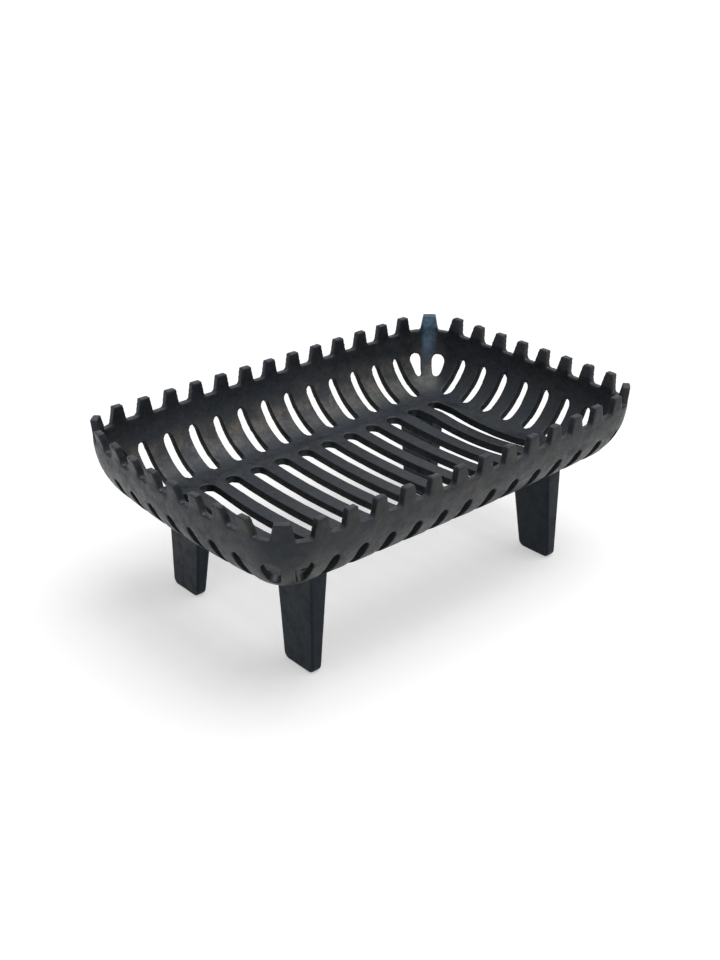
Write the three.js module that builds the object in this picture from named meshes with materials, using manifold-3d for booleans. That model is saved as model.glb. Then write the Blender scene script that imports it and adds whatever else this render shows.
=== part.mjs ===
// Cast-iron log grate: a slotted basket with a toothed rim, standing on four separate legs.
// Millimetres, +Z up. The origin is on the floor, under the middle of the basket, and +X runs
// along its long side. The sizes below are the only ones: every other size comes from them.

import * as THREE from 'three';
import { LoftGeometry } from 'three/addons/geometries/LoftGeometry.js';
import { mergeVertices } from 'three/addons/utils/BufferGeometryUtils.js';
import Module from 'manifold-3d';

// Rim: plan sizes run to the middle of the wall
const rimHalfLength = 216.5; // where a short side meets its corner curves
const rimHalfWidth = 142; // where a long side meets its corner curves
const shortSideBow = 5; // how far the middle of a short side stands out beyond its ends
const longSideBow = 3.5;
const rimCornerRadius = 40;
const rimHeight = 175; // top of the corner teeth
const rimDip = 2.5; // how much lower the middle of a side is than its corners
const shortSideLean = 3; // how far the tips of a short side stand out beyond the foot of its rim

// Bowl: an upright wall that curves in to a flat floor
const wall = 6.4;
const uprightWall = 12; // height of the upright part, from the tips of the teeth
const floorHeight = 103; // top face of the floor
const floorThickness = 7.6;
const longSideReach = 54; // how far the curve of a long side comes in before the floor
const shortSideReach = 44;
const floorCornerRadius = 12;

// Teeth: one at each corner, and rows that reach from corner curve to corner curve
const longSideTeeth = 13;
const shortSideTeeth = 8;
const toothHeight = 16;
const toothTip = 10;
const toothBase = 16;
const cornerToothTip = 11.5;
const cornerToothBase = 19;
const gapFillet = 2; // curve at the foot of each tooth

// Slots: one in the wall under every gap between teeth, and a row across the floor
const wallSlotWidth = 13;
const wallSlotTop = 34; // top end of a wall slot, above the floor
const wallSlotMargin = 12; // from the edge of the floor out to the low end of a wall slot
const cornerSlotHeight = 19; // on the inner face of the wall
const cornerSlotFlare = 1.2; // how much the slot grows on every side across the wall
const cornerSlotAngle = 23; // from the middle of the pair to one slot, in degrees
const cornerSlotTurn = 8; // from the middle of the pair to the way the slot is cut, in degrees
const cornerSlotOffset = 7; // how far the pair stands towards the long side, in degrees
const floorSlotWidth = 15;
const floorSlotMargin = 2.8; // from the edge of the floor to the side of the last floor slot
const floorSlotEndMargin = 4.75; // from the edge of the floor to the end of a floor slot

// Legs: the two outer faces are upright and the two inner ones slope out towards the floor
const legOuterX = 154.4;
const legOuterY = 102.2;
const footThickness = 10; // along X
const footWidth = 38; // along Y
const thicknessTaper = 0.086; // gain in thickness for each unit of height
const widthTaper = 0.1;
const footCornerRadius = 6; // lower corners of the wide face
const footEdgeRadius = 2.6; // lower edges of the narrow face

// Tongue under the basket and socket in the leg
const tongueThickness = 8;
const tongueWidth = 33.4;
const tongueLength = 12;
const fitGap = 0.3; // clearance around the tongue and between leg and basket
const socketEndGap = 0.5; // between the tongue's end and the bottom of the socket

// Facets
const bowlSteps = 6; // rings up the curve of the bowl
const cornerSteps = 8; // around a corner of the basket
const longSteps = 3; // along half a long side
const shortSteps = 2; // along half a short side
const slotEndSteps = 2; // pairs of facets around the end of a slot
const filletSteps = 2; // facets around the curve at the foot of a tooth
const footSteps = 4; // facets around a lower corner of a leg

// Extra length that makes a cutter pass right through what it cuts
const cutPast = 20;
const floorCutPast = 5; // above and below the floor
const closingRise = 10; // the outer form closes this far above the rim, inside the hollow

// Corners closer together than this are one corner
const sameCorner = 1e-4;

const curveTop = rimHeight - uprightWall;
const gapFloor = rimHeight - toothHeight;
const underside = floorHeight - floorThickness;
const floorHalfLength = rimHalfLength - wall / 2 - shortSideReach;
const floorHalfWidth = rimHalfWidth - wall / 2 - longSideReach;

// A long side's teeth and slots go in one row of columns, a short side's in another
const longGaps = longSideTeeth - 1;
const shortGaps = shortSideTeeth - 1;
const longSideRun = rimHalfLength - rimCornerRadius;
const shortSideRun = rimHalfWidth - rimCornerRadius;
const longToothPitch = (2 * longSideRun) / longGaps;
const shortToothPitch = (2 * shortSideRun) / shortGaps;
const lastFloorSlot = floorHalfLength - floorSlotMargin - floorSlotWidth / 2;
const floorSlotPitch = (2 * lastFloorSlot) / (longGaps - 1);
const shortSlotPitch = (2 * floorHalfWidth) / (shortGaps - 1);

const cornerSlotMiddle = floorHeight + wallSlotTop - cornerSlotHeight / 2;
const quarterTurn = Math.PI / 2;

const wasm = await Module();
wasm.setup();

// ---------------------------------------------------------------- solids and shapes

// Closed solid from a geometry
function solidFrom(geometry) {
  const bare = new THREE.BufferGeometry().copy(geometry);
  bare.deleteAttribute('normal');
  bare.deleteAttribute('uv');
  const merged = mergeVertices(bare, sameCorner);
  const mesh = new wasm.Mesh({
    numProp: 3,
    vertProperties: new Float32Array(merged.attributes.position.array),
    triVerts: new Uint32Array(merged.index.array),
  });
  return new wasm.Manifold(mesh);
}

// Geometry of a finished solid
function geometryFrom(solid) {
  const mesh = solid.getMesh();
  const geometry = new THREE.BufferGeometry();
  geometry.setAttribute('position', new THREE.BufferAttribute(mesh.vertProperties, mesh.numProp));
  geometry.setIndex(new THREE.BufferAttribute(mesh.triVerts, 1));
  geometry.computeVertexNormals();
  return geometry;
}

// Outline drawn in the XY plane and extruded up from a given height
function extrudeUp(shape, start, depth, steps) {
  const geometry = new THREE.ExtrudeGeometry(shape, { depth, bevelEnabled: false, curveSegments: steps });
  return geometry.translate(0, 0, start);
}

// Outline drawn in the YZ plane and extruded along +X from a given place
function extrudeAlongX(shape, start, depth, steps) {
  const lyingDown = new THREE.Matrix4().makeBasis(
    new THREE.Vector3(0, 1, 0),
    new THREE.Vector3(0, 0, 1),
    new THREE.Vector3(1, 0, 0),
  );
  return extrudeUp(shape, 0, depth, steps).applyMatrix4(lyingDown).translate(start, 0, 0);
}

// Outline drawn in the XZ plane and extruded along -Y from a given place
function extrudeAgainstY(shape, start, depth, steps) {
  const standing = new THREE.Matrix4().makeRotationX(quarterTurn);
  return extrudeUp(shape, 0, depth, steps).applyMatrix4(standing).translate(0, start, 0);
}

// Copy of a geometry, turned about the vertical and moved in plan
function placed(geometry, turn, x, y) {
  return new THREE.BufferGeometry().copy(geometry).rotateZ(turn).translate(x, y, 0);
}

// Copy of a geometry mirrored into another quadrant of the plan
function inQuadrant(geometry, signX, signY) {
  const copy = mergeVertices(new THREE.BufferGeometry().copy(geometry).scale(signX, signY, 1));
  if (signX * signY < 0) {
    const order = copy.index.array;
    for (let i = 0; i < order.length; i += 3) {
      [order[i], order[i + 1]] = [order[i + 1], order[i]];
    }
  }
  return copy;
}

// A solid with every cutter taken out of it
function cutWith(solid, cutters) {
  return cutters.reduce((rest, cutter) => rest.subtract(solidFrom(cutter)), solid);
}

// ---------------------------------------------------------------- plan of the basket

// Arc through the middle and the two ends of a bowed side
function bowRadius(halfRun, bow) {
  return (halfRun * halfRun + bow * bow) / (2 * bow);
}

const longArcRadius = bowRadius(longSideRun, longSideBow);
const shortArcRadius = bowRadius(shortSideRun, shortSideBow);
const longArcCentre = new THREE.Vector2(0, rimHalfWidth + longSideBow - longArcRadius);
const shortArcCentre = new THREE.Vector2(rimHalfLength + shortSideBow - shortArcRadius, 0);

// The corner is concentric with the rim near the top and tightens to the floor's own radius
function cornerRadiusAt(inset) {
  const spare = rimCornerRadius - floorCornerRadius;
  return floorCornerRadius + spare * Math.exp(-inset / spare);
}

// Centre of the corner curve that runs smoothly into both sides
function cornerCentre(longInset, shortInset) {
  const radius = cornerRadiusAt((longInset + shortInset) / 2);
  const fromLong = longArcRadius - longInset - radius;
  const fromShort = shortArcRadius - shortInset - radius;
  const between = new THREE.Vector2().subVectors(longArcCentre, shortArcCentre);
  const gap = between.length();
  const along = (fromShort * fromShort - fromLong * fromLong + gap * gap) / (2 * gap);
  const across = Math.sqrt(fromShort * fromShort - along * along);
  const unit = between.normalize();
  return new THREE.Vector2(
    shortArcCentre.x + unit.x * along - unit.y * across,
    shortArcCentre.y + unit.y * along + unit.x * across,
  );
}

// Angle of the line from one point to another
function directionTo(from, to) {
  return Math.atan2(to.y - from.y, to.x - from.x);
}

function pointOnArc(centre, radius, angle) {
  return new THREE.Vector2(
    centre.x + radius * Math.cos(angle),
    centre.y + radius * Math.sin(angle),
  );
}

// First quadrant of the plan, from the middle of a short side to the middle of a long one.
// Each point has its share of the dip, which is full at the middle of a side.
function quarterOutline(longInset, shortInset) {
  const corner = cornerCentre(longInset, shortInset);
  const cornerRadius = cornerRadiusAt((longInset + shortInset) / 2);
  const shortEnd = directionTo(shortArcCentre, corner);
  const longEnd = directionTo(longArcCentre, corner);
  const points = [];
  for (let i = 0; i < shortSteps; i += 1) {
    const share = i / shortSteps;
    const point = pointOnArc(shortArcCentre, shortArcRadius - shortInset, shortEnd * share);
    points.push({ point, dip: 1 - share * share });
  }
  for (let i = 0; i <= cornerSteps; i += 1) {
    const angle = shortEnd + ((longEnd - shortEnd) * i) / cornerSteps;
    points.push({ point: pointOnArc(corner, cornerRadius, angle), dip: 0 });
  }
  for (let i = longSteps - 1; i >= 0; i -= 1) {
    const share = i / longSteps;
    const angle = quarterTurn + (longEnd - quarterTurn) * share;
    const point = pointOnArc(longArcCentre, longArcRadius - longInset, angle);
    points.push({ point, dip: 1 - share * share });
  }
  return points;
}

// The whole plan at one height, counterclockwise from above
function ring(longInset, shortInset, height) {
  const quarter = quarterOutline(longInset, shortInset);
  const there = quarter.slice(0, -1);
  const back = quarter.slice(1).reverse();
  const dipShare = (height - underside) / (rimHeight - underside);
  const place = (signX, signY) => ({ point, dip }) => new THREE.Vector3(
    signX * point.x,
    signY * point.y,
    height - rimDip * dip * dipShare,
  );
  return [
    ...there.map(place(1, 1)),
    ...back.map(place(-1, 1)),
    ...there.map(place(-1, -1)),
    ...back.map(place(1, -1)),
  ];
}

// ---------------------------------------------------------------- bowl

// Inset of the inner face at one height of the curve
function insetAt(height, reach) {
  const drop = (curveTop - height) / (curveTop - floorHeight);
  return wall / 2 + reach * (1 - Math.sqrt(1 - drop * drop));
}

// Rings of one face of the bowl, from the floor up to the end of the upright wall.
// The outset is 0 for the inner face and the wall's thickness for the outer one.
function bowlRings(outset, floorDrop) {
  const rings = [];
  for (let i = bowlSteps; i >= 0; i -= 1) {
    const angle = (quarterTurn * i) / bowlSteps;
    const longInset = wall / 2 + longSideReach - (longSideReach + outset) * Math.cos(angle);
    const shortInset = wall / 2 + shortSideReach - (shortSideReach + outset) * Math.cos(angle);
    const height = curveTop - (curveTop - floorHeight + floorDrop) * Math.sin(angle);
    rings.push(ring(longInset, shortInset, height));
  }
  return rings;
}

// Plan at the tips of the teeth, where the short sides have leaned out
function rimRing(inset, height) {
  return ring(inset, inset - shortSideLean, height);
}

// Everything inside the outer face, grown by a clearance. Its top closes inside the hollow.
function outerForm(clearance) {
  const outset = wall + clearance;
  const inset = wall / 2 - outset;
  const sections = [
    ...bowlRings(outset, floorThickness + clearance),
    rimRing(inset, rimHeight),
    rimRing(wall, rimHeight),
    rimRing(wall, rimHeight + closingRise),
  ];
  return new LoftGeometry(sections, { capStart: true, capEnd: true });
}

// The hollow, open at the top
function innerForm() {
  const sections = [
    ...bowlRings(0, 0),
    rimRing(wall / 2, rimHeight),
    rimRing(wall / 2, rimHeight + cutPast),
  ];
  return new LoftGeometry(sections, { capStart: true, capEnd: true });
}

// ---------------------------------------------------------------- cutters

// Space between two teeth, cut through a wall that faces +X
function toothGap(floorWidth, topWidth, floorAt) {
  const half = floorWidth / 2;
  const slope = (topWidth - floorWidth) / 2 / toothHeight;
  const top = rimHeight + cutPast;
  const topHalf = half + slope * (top - floorAt);
  const shape = new THREE.Shape();
  shape.moveTo(-half + gapFillet, floorAt);
  shape.lineTo(half - gapFillet, floorAt);
  shape.quadraticCurveTo(half, floorAt, half + slope * gapFillet, floorAt + gapFillet);
  shape.lineTo(topHalf, top);
  shape.lineTo(-topHalf, top);
  shape.lineTo(-half - slope * gapFillet, floorAt + gapFillet);
  shape.quadraticCurveTo(-half, floorAt, -half + gapFillet, floorAt);
  return extrudeAlongX(shape, -cutPast, 2 * cutPast, filletSteps);
}

// Slot in the curved wall of a side that faces +X: rounded at the top as seen from the side,
// and rounded at the low end as seen from above
function wallSlot(lowEnd, outerEnd) {
  const radius = wallSlotWidth / 2;
  const top = floorHeight + wallSlotTop;
  const bottom = underside - cutPast;
  const plan = new THREE.Shape();
  plan.absarc(lowEnd + radius, 0, radius, quarterTurn, 3 * quarterTurn, false);
  plan.lineTo(outerEnd, -radius);
  plan.lineTo(outerEnd, radius);
  const side = new THREE.Shape();
  side.absarc(0, top - radius, radius, 0, 2 * quarterTurn, false);
  side.lineTo(-radius, bottom);
  side.lineTo(radius, bottom);
  const fromAbove = extrudeUp(plan, bottom, top + cutPast - bottom, slotEndSteps);
  const fromSide = extrudeAlongX(side, 0, outerEnd + cutPast, slotEndSteps);
  return geometryFrom(solidFrom(fromAbove).intersect(solidFrom(fromSide)));
}

// Upright slot with two round ends, cut through the corner of the wall along +X. It is true
// to size at its own origin, on the inner face, and gets larger on its way out.
function cornerSlot() {
  const straight = (cornerSlotHeight - wallSlotWidth) / 2;
  const section = (x) => {
    const radius = wallSlotWidth / 2 + (x * cornerSlotFlare) / wall;
    const shape = new THREE.Shape();
    shape.absarc(0, straight, radius, 0, 2 * quarterTurn, false);
    shape.absarc(0, -straight, radius, 2 * quarterTurn, 4 * quarterTurn, false);
    const outline = shape.getPoints(slotEndSteps).slice(0, -1);
    return outline.map((point) => new THREE.Vector3(x, point.x, cornerSlotMiddle + point.y));
  };
  const sections = [section(-cutPast), section(cutPast)];
  return new LoftGeometry(sections, { capStart: true, capEnd: true });
}

// Long slot across the floor
function floorSlot() {
  const radius = floorSlotWidth / 2;
  const reach = floorHalfWidth - floorSlotEndMargin - radius;
  const shape = new THREE.Shape();
  shape.absarc(0, reach, radius, 0, 2 * quarterTurn, false);
  shape.absarc(0, -reach, radius, 2 * quarterTurn, 4 * quarterTurn, false);
  return extrudeUp(shape, underside - floorCutPast, floorThickness + 2 * floorCutPast, slotEndSteps);
}

// Places of a row of columns, about its middle
function columns(count, pitch) {
  return Array.from({ length: count }, (_, i) => (i - (count - 1) / 2) * pitch);
}

// How much lower the rim is at one place on a side
function dipAt(place, halfRun) {
  const share = place / halfRun;
  return rimDip * (1 - share * share);
}

function longSideGaps() {
  return columns(longGaps, longToothPitch).flatMap((x) => {
    const floorAt = gapFloor - dipAt(x, longSideRun);
    const cutter = toothGap(longToothPitch - toothBase, longToothPitch - toothTip, floorAt);
    return [-1, 1].map((side) => placed(cutter, quarterTurn, x, side * rimHalfWidth));
  });
}

function shortSideGaps() {
  return columns(shortGaps, shortToothPitch).flatMap((y) => {
    const floorAt = gapFloor - dipAt(y, shortSideRun);
    const cutter = toothGap(shortToothPitch - toothBase, shortToothPitch - toothTip, floorAt);
    return [-1, 1].map((side) => placed(cutter, 0, side * rimHalfLength, y));
  });
}

// The two gaps beside each corner tooth
function cornerGaps() {
  const run = (rimCornerRadius * quarterTurn) / 2;
  const floorWidth = run - (cornerToothBase + toothBase) / 2;
  const topWidth = run - (cornerToothTip + toothTip) / 2;
  const cutter = toothGap(floorWidth, topWidth, gapFloor);
  const offset = (cornerToothBase + floorWidth) / 2 / rimCornerRadius;
  const centre = cornerCentre(0, 0);
  return [-offset, offset].flatMap((side) => {
    const angle = quarterTurn / 2 + side;
    const onRim = pointOnArc(centre, rimCornerRadius, angle);
    return inEveryQuadrant(placed(cutter, angle, onRim.x, onRim.y));
  });
}

function longWallSlots() {
  const outerEnd = rimHalfWidth + longSideBow + cutPast;
  const cutter = wallSlot(floorHalfWidth + wallSlotMargin, outerEnd);
  return columns(longGaps, floorSlotPitch).flatMap((x) => [
    placed(cutter, quarterTurn, x, 0),
    placed(cutter, -quarterTurn, x, 0),
  ]);
}

function shortWallSlots() {
  const outerEnd = rimHalfLength + shortSideBow + cutPast;
  const cutter = wallSlot(floorHalfLength + wallSlotMargin, outerEnd);
  return columns(shortGaps, shortSlotPitch).flatMap((y) => [
    placed(cutter, 0, 0, y),
    placed(cutter, 2 * quarterTurn, 0, y),
  ]);
}

function cornerSlots() {
  const longInset = insetAt(cornerSlotMiddle, longSideReach);
  const shortInset = insetAt(cornerSlotMiddle, shortSideReach);
  const centre = cornerCentre(longInset, shortInset);
  const radius = cornerRadiusAt((longInset + shortInset) / 2);
  const cutter = cornerSlot();
  const middle = quarterTurn / 2 + THREE.MathUtils.degToRad(cornerSlotOffset);
  return [-1, 1].flatMap((side) => {
    const place = middle + side * THREE.MathUtils.degToRad(cornerSlotAngle);
    const turn = middle + side * THREE.MathUtils.degToRad(cornerSlotTurn);
    const onWall = pointOnArc(centre, radius, place);
    return inEveryQuadrant(placed(cutter, turn, onWall.x, onWall.y));
  });
}

function floorSlots() {
  const cutter = floorSlot();
  return columns(longGaps, floorSlotPitch).map((x) => placed(cutter, 0, x, 0));
}

function inEveryQuadrant(geometry) {
  return [[1, 1], [-1, 1], [-1, -1], [1, -1]].map(([signX, signY]) => inQuadrant(geometry, signX, signY));
}

// ---------------------------------------------------------------- legs and their tongues

const tongueX = legOuterX - (footThickness + thicknessTaper * underside) / 2;
const tongueY = legOuterY - (footWidth + widthTaper * underside) / 2;

// Tongue of one leg in the first quadrant; its root is sunk in the floor
function tongue() {
  const root = floorThickness / 2;
  const box = new THREE.BoxGeometry(tongueThickness, tongueWidth, tongueLength + root);
  return box.translate(tongueX, tongueY, underside + (root - tongueLength) / 2);
}

function socket() {
  const depth = tongueLength + socketEndGap;
  const height = depth + cutPast;
  const box = new THREE.BoxGeometry(tongueThickness + 2 * fitGap, tongueWidth + 2 * fitGap, height);
  return box.translate(tongueX, tongueY, underside - depth + height / 2);
}

// Outline of a leg seen from one side: upright outer edge, sloping inner edge, round lower corners
function legOutline(outer, footSize, taper, cornerRadius) {
  const top = floorHeight + cutPast;
  const inner = outer - footSize;
  const shape = new THREE.Shape();
  shape.moveTo(inner + cornerRadius, 0);
  shape.lineTo(outer - cornerRadius, 0);
  shape.quadraticCurveTo(outer, 0, outer, cornerRadius);
  shape.lineTo(outer, top);
  shape.lineTo(inner - taper * top, top);
  shape.lineTo(inner - taper * cornerRadius, cornerRadius);
  shape.quadraticCurveTo(inner, 0, inner + cornerRadius, 0);
  return shape;
}

// Leg in the first quadrant: it reaches up to the underside of the basket and follows its curve
function leg() {
  const wide = legOutline(legOuterY, footWidth, widthTaper, footCornerRadius);
  const narrow = legOutline(legOuterX, footThickness, thicknessTaper, footEdgeRadius);
  const fromEnd = extrudeAlongX(wide, 0, legOuterX + cutPast, footSteps);
  const fromFront = extrudeAgainstY(narrow, legOuterY + cutPast, legOuterY + cutPast, footSteps);
  const form = solidFrom(fromEnd).intersect(solidFrom(fromFront));
  return geometryFrom(cutWith(form, [outerForm(fitGap), socket()]));
}

// ---------------------------------------------------------------- materials and assembly

function basketIron() {
  return new THREE.MeshStandardMaterial({ color: 0x3f4143, roughness: 0.62, metalness: 0.45 });
}

function legIron() {
  return new THREE.MeshStandardMaterial({ color: 0x2f3235, roughness: 0.55, metalness: 0.45 });
}

function basket() {
  const cutters = [
    innerForm(),
    ...longSideGaps(),
    ...shortSideGaps(),
    ...cornerGaps(),
    ...longWallSlots(),
    ...shortWallSlots(),
    ...cornerSlots(),
    ...floorSlots(),
  ];
  const bowl = cutWith(solidFrom(outerForm(0)), cutters);
  return geometryFrom(inEveryQuadrant(tongue()).reduce((form, part) => form.add(solidFrom(part)), bowl));
}

function named(name, geometry, material) {
  const mesh = new THREE.Mesh(geometry, material);
  mesh.name = name;
  return mesh;
}

function logGrate() {
  const group = new THREE.Group();
  group.name = 'log_grate';
  group.add(named('basket', basket(), basketIron()));
  const legs = inEveryQuadrant(leg());
  const names = ['leg_back_right', 'leg_back_left', 'leg_front_left', 'leg_front_right'];
  names.forEach((name, i) => group.add(named(name, legs[i], legIron())));
  return group;
}

export default logGrate();
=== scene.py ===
"""Cast-iron log grate: the looks of its basket and four legs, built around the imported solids.

Everything is in metres, +Z up. The origin is on the floor under the middle of the basket, and +X
runs along its long side.
"""

from __future__ import annotations
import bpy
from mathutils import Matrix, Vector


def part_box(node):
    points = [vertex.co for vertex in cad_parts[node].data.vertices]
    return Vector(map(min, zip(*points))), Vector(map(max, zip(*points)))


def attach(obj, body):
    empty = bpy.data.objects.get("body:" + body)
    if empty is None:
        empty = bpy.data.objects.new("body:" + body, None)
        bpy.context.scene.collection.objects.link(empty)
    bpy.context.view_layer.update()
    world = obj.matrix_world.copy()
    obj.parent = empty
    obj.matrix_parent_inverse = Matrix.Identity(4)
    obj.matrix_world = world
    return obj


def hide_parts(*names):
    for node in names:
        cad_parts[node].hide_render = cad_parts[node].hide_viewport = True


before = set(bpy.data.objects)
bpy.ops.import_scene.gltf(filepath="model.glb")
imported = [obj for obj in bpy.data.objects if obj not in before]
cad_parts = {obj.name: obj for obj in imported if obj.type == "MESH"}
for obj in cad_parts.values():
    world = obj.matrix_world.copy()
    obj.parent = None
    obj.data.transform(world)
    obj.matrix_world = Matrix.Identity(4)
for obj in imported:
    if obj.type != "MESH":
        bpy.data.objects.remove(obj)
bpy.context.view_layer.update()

import logging
import math
from dataclasses import dataclass, field
from enum import Enum
from typing import Callable, Sequence

import bmesh
import bpy
from mathutils import Matrix, Vector, noise

LOG = logging.getLogger("log_grate")

QUARTER_TURN = math.pi / 2
IMAGE_HEIGHT = 960  # pixels
SENSOR = 36.0  # millimetres, on the taller side of the image
SHARP = math.radians(30)
ALMOST = 0.98  # share of half a width that its rounding takes, so that a sliver stays flat
MOST_SLANT = 0.3  # share of its length by which an edge may stray from the way it runs


class Axis(Enum):
    """The way an edge or a cutter runs."""

    X = Vector((1, 0, 0))
    Y = Vector((0, 1, 0))
    Z = Vector((0, 0, 1))


# ------------------------------------------------------------------ mesh helpers


def new_object(name: str, mesh: bpy.types.Mesh) -> bpy.types.Object:
    """Links a mesh to the scene as an object at the origin.

    Args:
        name: the object's name.
        mesh: its mesh, in place.

    Returns:
        The new object.
    """
    thing = bpy.data.objects.new(name, mesh)
    bpy.context.scene.collection.objects.link(thing)
    return thing


def mesh_from(bm: bmesh.types.BMesh, name: str) -> bpy.types.Mesh:
    """Turns a bmesh into a mesh with its faces pointing outwards, and frees the bmesh.

    Args:
        bm: closed bodies that don't overlap.
        name: the mesh's name.

    Returns:
        The mesh.
    """
    bmesh.ops.recalc_face_normals(bm, faces=bm.faces)
    mesh = bpy.data.meshes.new(name)
    bm.to_mesh(mesh)
    bm.free()
    return mesh


def block(low: Sequence[float], high: Sequence[float]) -> bmesh.types.BMesh:
    """Makes a box between two corners.

    Args:
        low: its lowest corner.
        high: its highest corner.

    Returns:
        The box.
    """
    bm = bmesh.new()
    size = Vector(high) - Vector(low)
    middle = (Vector(high) + Vector(low)) / 2
    place = Matrix.Translation(middle) @ Matrix.Diagonal((*size, 1))
    bmesh.ops.create_cube(bm, size=1, matrix=place)
    return bm


def edges_along(
    bm: bmesh.types.BMesh, axis: Axis, keep: Callable[[Vector], bool] = lambda middle: True
) -> list[bmesh.types.BMEdge]:
    """Finds the straight edges of a block that run one way.

    Args:
        bm: the block.
        axis: the way they run.
        keep: a test on the middle of each edge.

    Returns:
        The edges.
    """
    found = []
    for edge in bm.edges:
        start, end = (vert.co for vert in edge.verts)
        across = (end - start).cross(axis.value).length
        if across < MOST_SLANT * (end - start).length and keep((start + end) / 2):
            found.append(edge)
    return found


def round_edges(
    bm: bmesh.types.BMesh, edges: list[bmesh.types.BMEdge], radius: float, segments: int
) -> None:
    """Rounds edges.

    Args:
        bm: the bmesh that holds them.
        edges: the edges to round.
        radius: how far the rounding reaches.
        segments: facets around it.
    """
    bmesh.ops.bevel(
        bm,
        geom=edges,
        offset=radius,
        offset_type="OFFSET",
        segments=segments,
        profile=0.5,
        affect="EDGES",
        material=-1,
    )


def add_copy(bm: bmesh.types.BMesh, mesh: bpy.types.Mesh, place: Matrix) -> None:
    """Adds a copy of a mesh to a bmesh.

    Args:
        bm: the bmesh that takes it.
        mesh: the mesh to copy.
        place: where the copy goes.
    """
    known = len(bm.verts)
    bm.from_mesh(mesh)
    bm.verts.ensure_lookup_table()
    bmesh.ops.transform(bm, matrix=place, verts=bm.verts[known:])


def raise_faces(
    bm: bmesh.types.BMesh, faces: list[bmesh.types.BMFace], rise: float
) -> list[bmesh.types.BMFace]:
    """Extrudes faces straight up.

    Args:
        bm: the bmesh that holds them.
        faces: the faces to raise.
        rise: how far.

    Returns:
        The raised faces.
    """
    raised = bmesh.ops.extrude_face_region(bm, geom=faces)["geom"]
    verts = [item for item in raised if isinstance(item, bmesh.types.BMVert)]
    bmesh.ops.translate(bm, verts=verts, vec=(0, 0, rise))
    return [item for item in raised if isinstance(item, bmesh.types.BMFace)]


def standing_at(turn: float, x: float, y: float) -> Matrix:
    """Turns a shape about the vertical and moves it in plan."""
    return Matrix.Translation((x, y, 0)) @ Matrix.Rotation(turn, 4, "Z")


def mirrored(sign_x: int, sign_y: int) -> Matrix:
    """Mirrors a shape of the first quadrant into another one."""
    return Matrix.Diagonal((sign_x, sign_y, 1, 1))


def settled(thing: bpy.types.Object) -> bpy.types.Object:
    """Applies an object's modifiers to its mesh.

    Args:
        thing: the object.

    Returns:
        The same object, without modifiers.
    """
    graph = bpy.context.evaluated_depsgraph_get()
    mesh = bpy.data.meshes.new_from_object(thing.evaluated_get(graph), depsgraph=graph)
    thing.modifiers.clear()
    thing.data = mesh
    return thing


def cut(thing: bpy.types.Object, cutter: bpy.types.Mesh) -> bpy.types.Object:
    """Takes a cutter's bodies out of an object.

    Args:
        thing: the object.
        cutter: closed bodies, none of which may overlap another.

    Returns:
        The object.

    Raises:
        RuntimeError: if the cut leaves nothing, as it does where two bodies overlap.
    """
    tool = new_object("cutter", cutter)
    modifier = thing.modifiers.new("cut", "BOOLEAN")
    modifier.operation = "DIFFERENCE"
    modifier.solver = "EXACT"
    modifier.object = tool
    settled(thing)
    bpy.data.objects.remove(tool)
    if not thing.data.polygons:
        raise RuntimeError(f"nothing is left of {thing.name} after a cut")
    return thing


@dataclass(frozen=True)
class SandCasting:
    """How a casting differs from its pattern: soft edges and a faintly uneven skin."""

    grid: float
    softening: int
    regain: float  # what the softening takes off, put back
    unevenness: float
    uneven_scale: float = 55.0  # cells of the noise per metre
    finer: float = 2.7  # how much finer the second noise is
    softening_share: float = 0.5
    most_triangles: int = 190_000

    def pour(self, thing: bpy.types.Object) -> bpy.types.Object:
        """Gives an object one closed skin on an even grid, with its edges softened.

        Args:
            thing: the object.

        Returns:
            The same object.
        """
        skin = thing.modifiers.new("skin", "REMESH")
        skin.mode = "VOXEL"
        skin.voxel_size = self.grid
        soften = thing.modifiers.new("soften", "SMOOTH")
        soften.factor = self.softening_share
        soften.iterations = self.softening
        return settled(thing)

    def thin(self, thing: bpy.types.Object) -> None:
        """Brings the triangles under the most that a piece may have."""
        triangles = sum(len(face.vertices) - 2 for face in thing.data.polygons)
        if triangles > self.most_triangles:
            fewer = thing.modifiers.new("fewer", "DECIMATE")
            fewer.ratio = self.most_triangles / triangles
            settled(thing)

    def roughen(self, thing: bpy.types.Object) -> None:
        """Moves the skin in and out a little, so that highlights break up."""
        normals = [vert.normal.copy() for vert in thing.data.vertices]
        for vert, normal in zip(thing.data.vertices, normals):
            wave = noise.noise(vert.co * self.uneven_scale)
            wave += noise.noise(vert.co * self.uneven_scale * self.finer) / 2
            vert.co += normal * (self.regain + self.unevenness * wave)

    def keep_within(self, thing: bpy.types.Object, node: str) -> bpy.types.Object:
        """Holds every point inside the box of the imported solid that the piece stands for.

        Args:
            thing: the piece.
            node: the solid's node.

        Returns:
            The same piece, with smooth shading.
        """
        low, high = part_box(node)
        for vert in thing.data.vertices:
            vert.co = Vector(min(max(c, a), b) for c, a, b in zip(vert.co, low, high))
        for face in thing.data.polygons:
            face.use_smooth = True
        return thing


# ------------------------------------------------------------------ plan of the basket


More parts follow.
